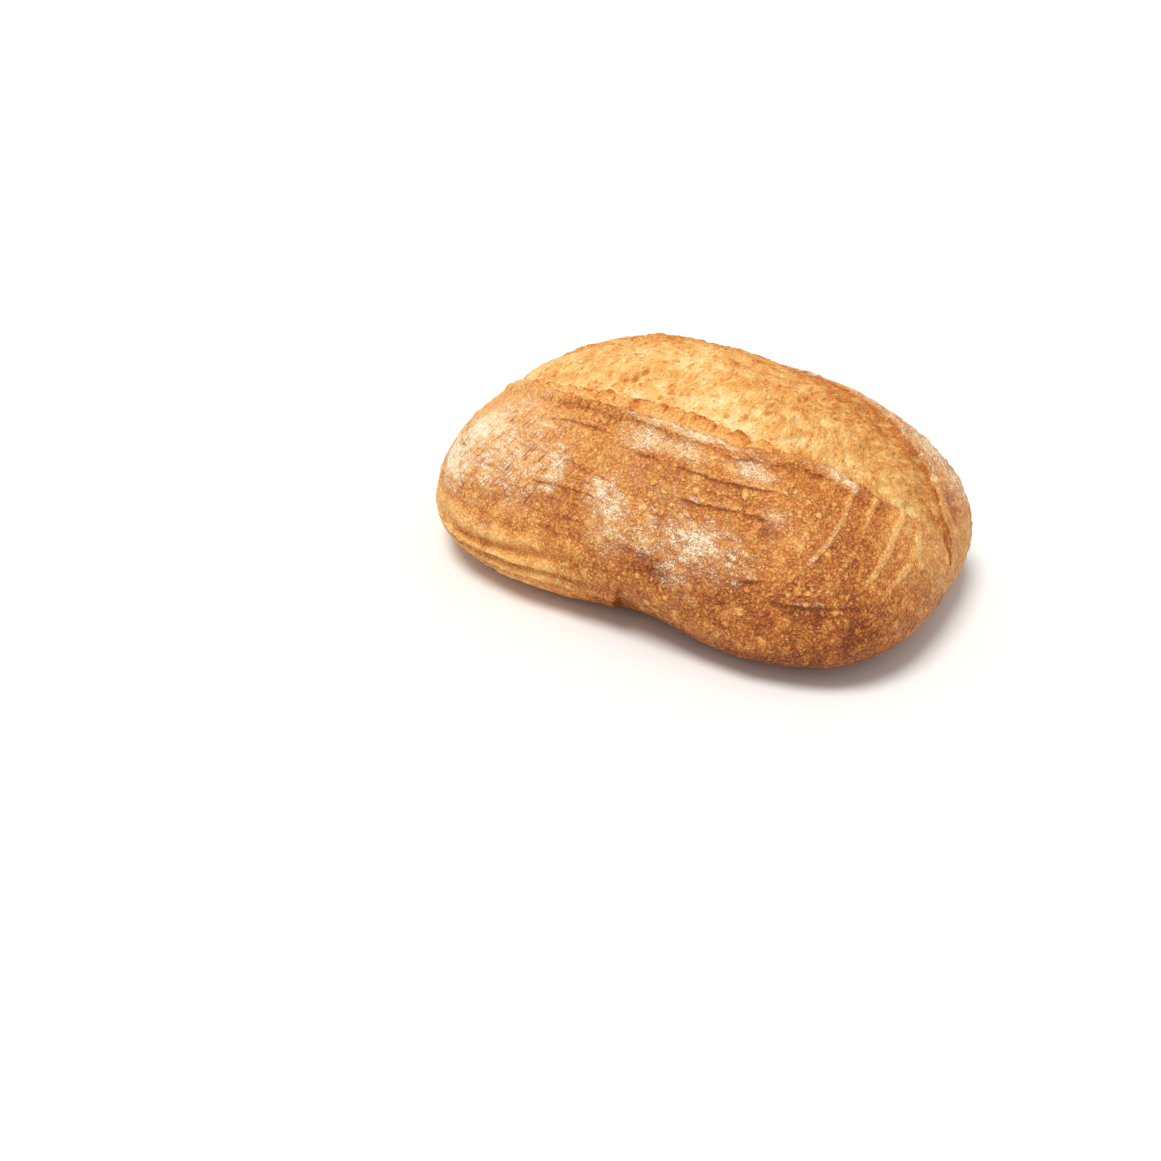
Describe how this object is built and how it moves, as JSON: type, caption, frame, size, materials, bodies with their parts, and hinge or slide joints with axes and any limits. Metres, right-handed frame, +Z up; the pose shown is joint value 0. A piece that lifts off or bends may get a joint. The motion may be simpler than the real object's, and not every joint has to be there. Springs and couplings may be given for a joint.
{
  "type": "sourdough loaf",
  "caption": "Oblong sourdough loaf with a domed back, one long burst slash along the top and a flat base to stand on.",
  "frame": {"origin": "middle of the loaf's own box on the surface that it stands on", "axes": "+X along the loaf's length and its slash, +Y across it, +Z up"},
  "size_m": [0.25, 0.179, 0.1044],
  "materials": {
    "crust": "matte"
  },
  "bodies": {
    "root": {"loaf": "crust"}
  },
  "joints": []
}
